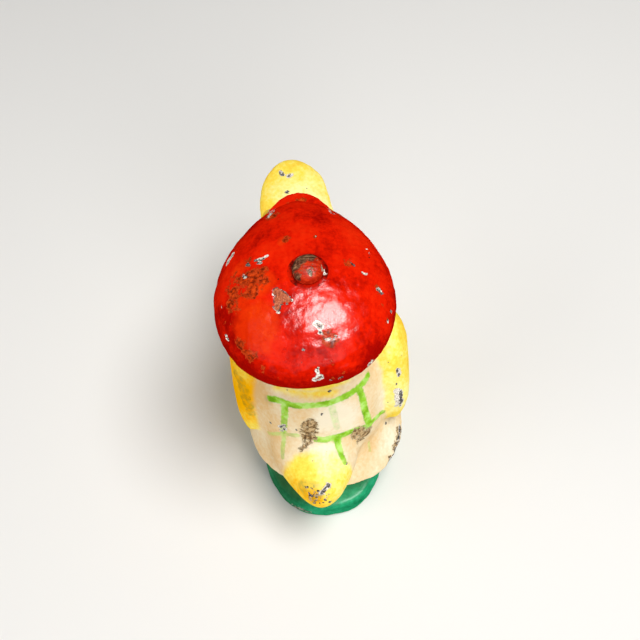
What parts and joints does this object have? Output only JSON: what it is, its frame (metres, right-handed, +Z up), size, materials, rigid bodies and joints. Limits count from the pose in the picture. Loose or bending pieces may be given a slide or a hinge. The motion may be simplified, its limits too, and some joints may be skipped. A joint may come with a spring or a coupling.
{
  "type": "cast iron duckling paperweight",
  "caption": "Upright cast iron duckling with a puffed cap, short jacket and oval base, used as a desk paperweight.",
  "frame": {"origin": "on the floor under the middle of the whole figure's box", "axes": "+Z up, the duckling faces -Y and its left side is +X"},
  "size_m": [0.0472, 0.0856, 0.09],
  "materials": {
    "green_enamel": "satin, chipped",
    "yellow_enamel": "satin, chipped",
    "orange_enamel": "satin, chipped",
    "cream_enamel": "satin, chipped",
    "black_enamel": "gloss",
    "red_enamel": "gloss, chipped",
    "worn_iron": "red paint worn to brown iron",
    "bare_iron": "matt brown oxide"
  },
  "bodies": {
    "root": {"base": "green_enamel", "lower_body": "yellow_enamel", "left_foot": "orange_enamel", "right_foot": "orange_enamel", "jacket_front": "cream_enamel", "jacket_back": "cream_enamel", "left_wing": "yellow_enamel", "right_wing": "yellow_enamel", "tail": "yellow_enamel", "head": "yellow_enamel", "upper_bill": "yellow_enamel", "lower_bill": "yellow_enamel", "left_eye": "black_enamel", "right_eye": "black_enamel", "cap_crown": "red_enamel", "cap_visor": "red_enamel", "button_bolt": "worn_iron", "bolt_washer": "bare_iron", "bolt_nut": "bare_iron"}
  },
  "joints": []
}
